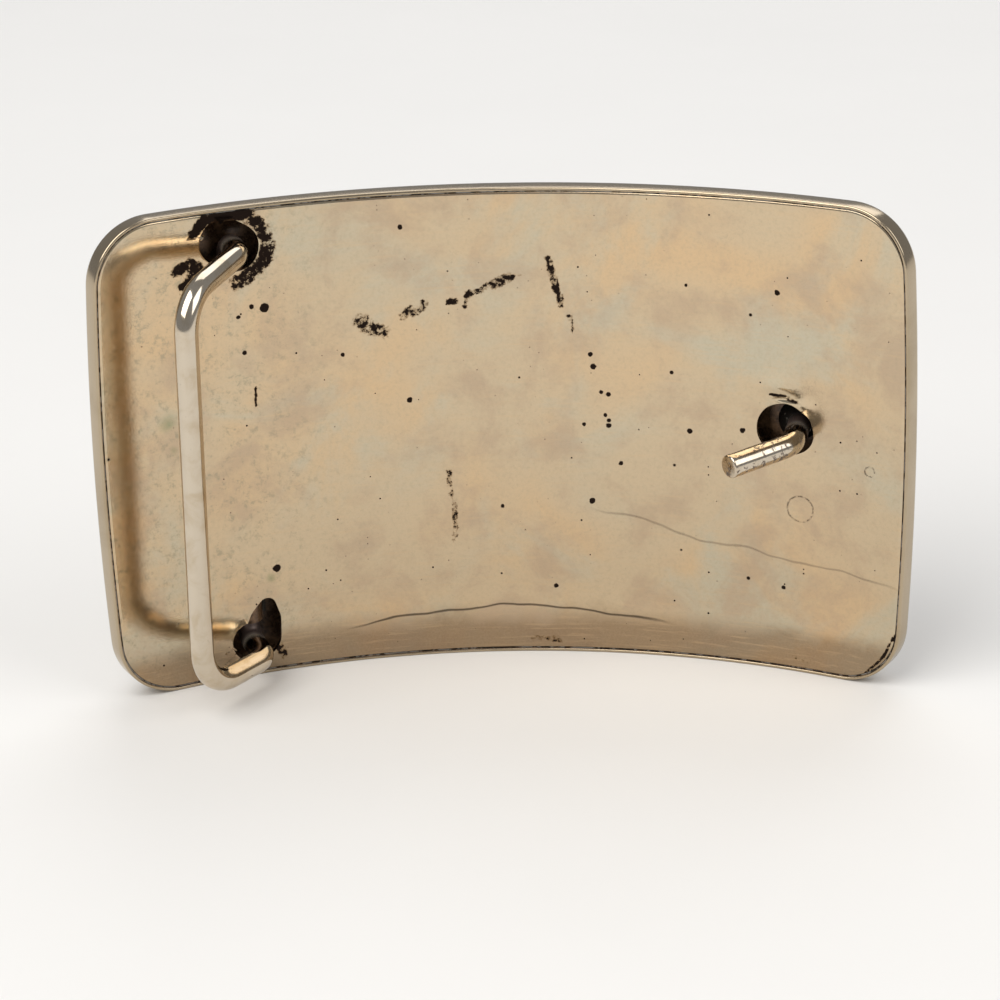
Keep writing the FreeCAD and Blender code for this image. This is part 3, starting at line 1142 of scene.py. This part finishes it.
def dress_fittings(nodes: dict[str, Piece], oxide: Material) -> None:
    """Gives the hinge tubes, solder and base disc, which stay as packed, their finishes."""
    inner = SolderFinish("inner_solder", 0.7).build()
    finishes = {
        "hinge_tube_upper": oxide, "hinge_tube_lower": oxide, "hook_base_disc": oxide,
        "hinge_solder_upper": inner, "hinge_solder_lower": inner, "hook_solder": inner,
        "edge_solder": SolderFinish("seam_solder", 0.5).build(),
    }
    for name, material in finishes.items():
        nodes[name].data.materials.clear()
        nodes[name].data.materials.append(material)


@dataclass(frozen=True)
class Lamp:
    """One soft square light: its place and side in metres, and its watts."""

    name: str
    place: Triple
    side: float
    power: float
    colour: Colour = (1.0, 1.0, 1.0)

    def hang(self, aim: Vector) -> None:
        """Adds the light, turned towards a point."""
        data = bpy.data.lights.new(self.name, "AREA")
        data.size = self.side
        data.energy = self.power
        data.color = self.colour
        lamp = bpy.data.objects.new(self.name, data)
        lamp.location = Vector(self.place)
        lamp.rotation_euler = (aim - lamp.location).to_track_quat("-Z", "Y").to_euler()
        bpy.context.scene.collection.objects.link(lamp)


@dataclass
class Studio:
    """Pale floor, soft lights and the camera."""

    azimuth: float = 1.04
    elevation: float = 20.78
    distance: float = 361.0
    roll: float = 1.37
    yaw: float = -0.12
    pitch: float = 1.27
    lens: float = 120.46
    paper: Colour = (0.86, 0.845, 0.82)
    sky: Colour = (0.94, 0.96, 1.0)
    sky_strength: float = 0.32
    lamps: tuple[Lamp, ...] = (
        Lamp("key", (-0.42, -0.42, 0.75), 0.8, 7.2, (1.0, 0.985, 0.96)),
        Lamp("fill", (0.65, -0.35, 0.55), 0.6, 2.3),
        Lamp("back", (0.1, 0.6, 0.7), 0.7, 2.6),
    )

    def floor(self) -> Piece:
        """Wide pale floor."""
        mesh = bmesh.new()
        bmesh.ops.create_grid(mesh, x_segments=1, y_segments=1, size=3.0)
        g = Graph("pale_floor", 0.0)
        grain = g.noise(0.02, 5.0, 0.6)
        colour = g.mix(grain, self.paper, tuple(value * 0.96 for value in self.paper))
        floor = finished("floor", mesh, (g.dress(colour, 0.75, g.bump(g.noise(0.6, 4.0), 0.1, 0.05)),))
        return floor

    def light(self) -> None:
        """Soft key from the upper left, a fill from the right and an even sky."""
        aim = Vector((0.0, 0.0, 0.027))
        for lamp in self.lamps:
            lamp.hang(aim)
        world = bpy.data.worlds.new("soft_sky")
        world.use_nodes = True
        sky = world.node_tree.nodes["Background"]
        sky.inputs[0].default_value = (*self.sky, 1.0)
        sky.inputs[1].default_value = self.sky_strength
        bpy.context.scene.world = world
        bpy.context.scene.view_settings.view_transform = "Standard"

    def camera(self, bend: Bend) -> None:
        """Places the camera a little above the back of the buckle."""
        side, high = radians(self.azimuth), radians(self.elevation)
        back = Vector((sin(side) * cos(high), -cos(side) * cos(high), sin(high)))
        right = (-back).cross(Vector((0.0, 0.0, 1.0))).normalized()
        rows = Matrix((right, right.cross(-back), back))
        turn = (Matrix.Rotation(radians(self.roll), 3, "Z") @ Matrix.Rotation(radians(self.pitch), 3, "X")
                @ Matrix.Rotation(radians(self.yaw), 3, "Y") @ rows)
        data = bpy.data.cameras.new("camera")
        data.lens = self.lens
        data.sensor_width = 36.0
        data.clip_start = 0.01
        camera = bpy.data.objects.new("camera", data)
        centre = Vector((0.0, bend.shift_y, bend.shift_z)) * MM
        stand = Matrix.Translation(centre + back * self.distance * MM)
        camera.matrix_world = stand @ turn.transposed().to_4x4()
        bpy.context.scene.collection.objects.link(camera)
        bpy.context.scene.camera = camera


def main() -> None:
    """Builds and dresses the buckle, piece by piece."""
    logging.basicConfig(level=logging.INFO, format="%(message)s")
    noise.seed_set(SEED)
    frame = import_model()
    bend = Bend()
    outline = Outline()
    oxide = OxideFinish().build()
    for piece in (
        FrontShell(bend, outline).build(FrontFinish().build(), oxide),
        BackPlate(bend, outline).build(BackFinish().build(bend)),
        Bail().make(bend, WireFinish().build("bail_nickel")),
        Hook().make(bend, WireFinish(worn_share=0.545, buried=-0.9).build("hook_nickel")),
    ):
        LOG.info("built %s with %d faces", piece.name, len(piece.data.polygons))
    dress_fittings(frame["nodes"], oxide)
    LOG.info("dressed the inner fittings")
    studio = Studio()
    studio.floor()
    studio.light()
    studio.camera(bend)


if __name__ == "__main__":
    main()
